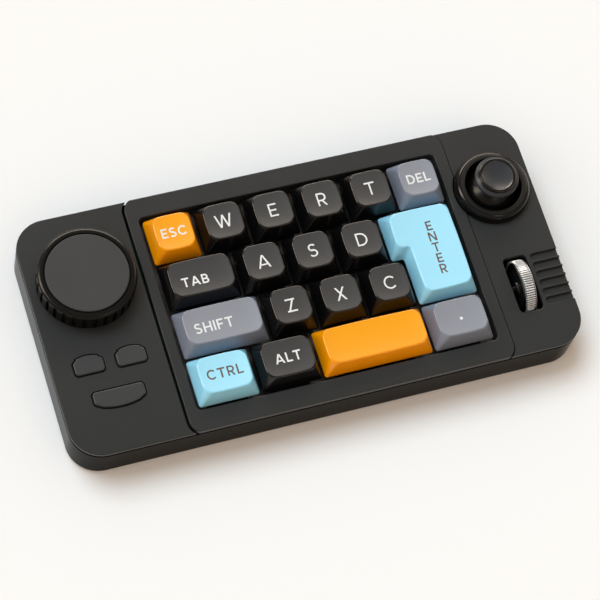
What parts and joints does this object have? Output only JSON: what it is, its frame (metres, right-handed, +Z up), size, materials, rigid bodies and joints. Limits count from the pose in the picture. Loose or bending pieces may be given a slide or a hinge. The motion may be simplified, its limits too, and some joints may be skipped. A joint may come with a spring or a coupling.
{
  "type": "macro keypad with knobs",
  "caption": "Low desktop macro keypad with a sunken field of coloured keycaps, a large notched dial, push buttons, a thumb joystick and a knurled scroll wheel.",
  "frame": {"origin": "middle of the footprint, on the surface that the feet stand on", "axes": "+X to the joystick side, +Y to the rear edge with the USB socket, +Z up out of the keys"},
  "size_m": [0.196, 0.0934, 0.0305],
  "materials": {
    "case_plastic": "fine matte moulded plastic, charcoal",
    "cover_plastic": "fine matte moulded plastic, charcoal",
    "button_plastic": "fine matte moulded plastic, charcoal",
    "plate_steel": "black coated steel",
    "board_laminate": "solder mask over glass laminate",
    "chip_resin": "moulded resin",
    "plated_steel": "nickel plated steel",
    "foot_rubber": "soft rubber",
    "screw_black": "black oxide steel",
    "spacer_brass": "turned brass",
    "switch_plastic": "moulded plastic",
    "cap_orange": "satin moulded plastic, orange",
    "cap_black": "satin moulded plastic, black",
    "cap_grey": "satin moulded plastic, blue grey",
    "cap_blue": "satin moulded plastic, light blue",
    "encoder_zinc": "die cast zinc",
    "dial_plastic": "satin moulded plastic, black",
    "dial_face": "fine matte, charcoal",
    "collar_plastic": "polished plastic, black",
    "thumb_rubber": "satin hard rubber, black",
    "wheel_metal": "knurled and polished aluminium",
    "sensor_blue": "moulded plastic"
  },
  "bodies": {
    "case": {"bottom_case": "case_plastic", "left_panel": "cover_plastic", "right_panel": "cover_plastic", "centre_frame": "cover_plastic", "switch_plate": "plate_steel", "main_board": "board_laminate", "controller_chip": "chip_resin", "usb_socket": "plated_steel", "rubber_feet": "foot_rubber", "case_screws": "screw_black", "plate_screws": "screw_black", "plate_spacers": "spacer_brass", "switch_housings": "switch_plastic", "switch_springs": "plated_steel", "stabiliser_housings": "switch_plastic", "encoder_body": "encoder_zinc", "encoder_nut": "plated_steel", "tact_switches": "switch_plastic", "joystick_housing": "switch_plastic", "joystick_sensors": "sensor_blue", "joystick_collar": "collar_plastic", "wheel_bracket": "switch_plastic", "wheel_sensor": "sensor_blue"},
    "key_esc": {"key_esc": "cap_orange"},
    "key_w": {"key_w": "cap_black"},
    "key_e": {"key_e": "cap_black"},
    "key_r": {"key_r": "cap_black"},
    "key_t": {"key_t": "cap_black"},
    "key_del": {"key_del": "cap_grey"},
    "key_tab": {"key_tab": "cap_black"},
    "key_a": {"key_a": "cap_black"},
    "key_s": {"key_s": "cap_black"},
    "key_d": {"key_d": "cap_black"},
    "key_enter": {"key_enter": "cap_blue"},
    "key_shift": {"key_shift": "cap_grey"},
    "key_z": {"key_z": "cap_black"},
    "key_x": {"key_x": "cap_black"},
    "key_c": {"key_c": "cap_black"},
    "key_ctrl": {"key_ctrl": "cap_blue"},
    "key_alt": {"key_alt": "cap_black"},
    "key_space": {"key_space": "cap_orange"},
    "key_dot": {"key_dot": "cap_grey"},
    "space_wire": {"space_stabiliser_wire": "plated_steel"},
    "enter_wire": {"enter_stabiliser_wire": "plated_steel"},
    "dial_rotor": {"encoder_rotor": "switch_plastic"},
    "dial": {"dial_shaft": "plated_steel", "dial_grip": "dial_plastic", "dial_cap": "dial_face"},
    "button_left": {"button_left": "button_plastic"},
    "button_right": {"button_right": "button_plastic"},
    "button_long": {"button_long": "button_plastic"},
    "gimbal": {"gimbal_ring": "switch_plastic"},
    "stick_hub": {"stick_hub": "switch_plastic"},
    "stick": {"stick_shaft": "plated_steel", "stick_dome": "thumb_rubber", "thumb_cap": "thumb_rubber"},
    "wheel": {"wheel_axle": "plated_steel", "scroll_wheel": "wheel_metal"}
  },
  "joints": [
    {"name": "esc_press", "type": "slide", "parent": "case", "child": "key_esc", "axis": [0, 0, -1], "range_m": [0, 0.004], "stiffness_N_per_m": 75, "springref_m": -0.004},
    {"name": "w_press", "type": "slide", "parent": "case", "child": "key_w", "axis": [0, 0, -1], "range_m": [0, 0.004], "stiffness_N_per_m": 75, "springref_m": -0.004},
    {"name": "e_press", "type": "slide", "parent": "case", "child": "key_e", "axis": [0, 0, -1], "range_m": [0, 0.004], "stiffness_N_per_m": 75, "springref_m": -0.004},
    {"name": "r_press", "type": "slide", "parent": "case", "child": "key_r", "axis": [0, 0, -1], "range_m": [0, 0.004], "stiffness_N_per_m": 75, "springref_m": -0.004},
    {"name": "t_press", "type": "slide", "parent": "case", "child": "key_t", "axis": [0, 0, -1], "range_m": [0, 0.004], "stiffness_N_per_m": 75, "springref_m": -0.004},
    {"name": "del_press", "type": "slide", "parent": "case", "child": "key_del", "axis": [0, 0, -1], "range_m": [0, 0.004], "stiffness_N_per_m": 75, "springref_m": -0.004},
    {"name": "tab_press", "type": "slide", "parent": "case", "child": "key_tab", "axis": [0, 0, -1], "range_m": [0, 0.004], "stiffness_N_per_m": 75, "springref_m": -0.004},
    {"name": "a_press", "type": "slide", "parent": "case", "child": "key_a", "axis": [0, 0, -1], "range_m": [0, 0.004], "stiffness_N_per_m": 75, "springref_m": -0.004},
    {"name": "s_press", "type": "slide", "parent": "case", "child": "key_s", "axis": [0, 0, -1], "range_m": [0, 0.004], "stiffness_N_per_m": 75, "springref_m": -0.004},
    {"name": "d_press", "type": "slide", "parent": "case", "child": "key_d", "axis": [0, 0, -1], "range_m": [0, 0.004], "stiffness_N_per_m": 75, "springref_m": -0.004},
    {"name": "enter_press", "type": "slide", "parent": "case", "child": "key_enter", "axis": [0, 0, -1], "range_m": [0, 0.004], "stiffness_N_per_m": 75, "springref_m": -0.004},
    {"name": "shift_press", "type": "slide", "parent": "case", "child": "key_shift", "axis": [0, 0, -1], "range_m": [0, 0.004], "stiffness_N_per_m": 75, "springref_m": -0.004},
    {"name": "z_press", "type": "slide", "parent": "case", "child": "key_z", "axis": [0, 0, -1], "range_m": [0, 0.004], "stiffness_N_per_m": 75, "springref_m": -0.004},
    {"name": "x_press", "type": "slide", "parent": "case", "child": "key_x", "axis": [0, 0, -1], "range_m": [0, 0.004], "stiffness_N_per_m": 75, "springref_m": -0.004},
    {"name": "c_press", "type": "slide", "parent": "case", "child": "key_c", "axis": [0, 0, -1], "range_m": [0, 0.004], "stiffness_N_per_m": 75, "springref_m": -0.004},
    {"name": "ctrl_press", "type": "slide", "parent": "case", "child": "key_ctrl", "axis": [0, 0, -1], "range_m": [0, 0.004], "stiffness_N_per_m": 75, "springref_m": -0.004},
    {"name": "alt_press", "type": "slide", "parent": "case", "child": "key_alt", "axis": [0, 0, -1], "range_m": [0, 0.004], "stiffness_N_per_m": 75, "springref_m": -0.004},
    {"name": "space_press", "type": "slide", "parent": "case", "child": "key_space", "axis": [0, 0, -1], "range_m": [0, 0.004], "stiffness_N_per_m": 75, "springref_m": -0.004},
    {"name": "dot_press", "type": "slide", "parent": "case", "child": "key_dot", "axis": [0, 0, -1], "range_m": [0, 0.004], "stiffness_N_per_m": 75, "springref_m": -0.004},
    {"name": "space_wire_turn", "type": "hinge", "parent": "case", "child": "space_wire", "pos_m": [0.01836, -0.03737, 0.01245], "axis": [-1, 0, 0], "range_deg": [0, 26.37]},
    {"name": "enter_wire_turn", "type": "hinge", "parent": "case", "child": "enter_wire", "pos_m": [0.06049, 0, 0.01245], "axis": [0, -1, 0], "range_deg": [0, 26.37]},
    {"name": "dial_spin", "type": "hinge", "parent": "case", "child": "dial_rotor", "pos_m": [-0.07675, 0.0189, 0.0094], "axis": [0, 0, 1], "continuous": true},
    {"name": "dial_press", "type": "slide", "parent": "dial_rotor", "child": "dial", "axis": [0, 0, -1], "range_m": [0, 0.0005], "stiffness_N_per_m": 4000, "springref_m": -0.0005},
    {"name": "button_left_press", "type": "slide", "parent": "case", "child": "button_left", "axis": [0, 0, -1], "range_m": [0, 0.0005], "stiffness_N_per_m": 2500, "springref_m": -0.0005},
    {"name": "button_right_press", "type": "slide", "parent": "case", "child": "button_right", "axis": [0, 0, -1], "range_m": [0, 0.0005], "stiffness_N_per_m": 2500, "springref_m": -0.0005},
    {"name": "button_long_press", "type": "slide", "parent": "case", "child": "button_long", "axis": [0, 0, -1], "range_m": [0, 0.0005], "stiffness_N_per_m": 2500, "springref_m": -0.0005},
    {"name": "stick_tilt_x", "type": "hinge", "parent": "case", "child": "gimbal", "pos_m": [0.0817, 0.02, 0.0115], "axis": [1, 0, 0], "range_deg": [-15, 15], "stiffness_Nm_per_rad": 0.03},
    {"name": "stick_tilt_y", "type": "hinge", "parent": "gimbal", "child": "stick_hub", "pos_m": [0.0817, 0.02, 0.0115], "axis": [0, 1, 0], "range_deg": [-15, 15], "stiffness_Nm_per_rad": 0.03},
    {"name": "stick_press", "type": "slide", "parent": "stick_hub", "child": "stick", "axis": [0, 0, -1], "range_m": [0, 0.0005], "stiffness_N_per_m": 4000, "springref_m": -0.0005},
    {"name": "wheel_spin", "type": "hinge", "parent": "case", "child": "wheel", "pos_m": [0.0808, -0.0198, 0.0144], "axis": [1, 0, 0], "continuous": true}
  ],
  "couplings": [
    {"joint": "space_wire_turn", "follows": "space_press", "rad_per_m": 114.64},
    {"joint": "enter_wire_turn", "follows": "enter_press", "rad_per_m": 114.64}
  ]
}
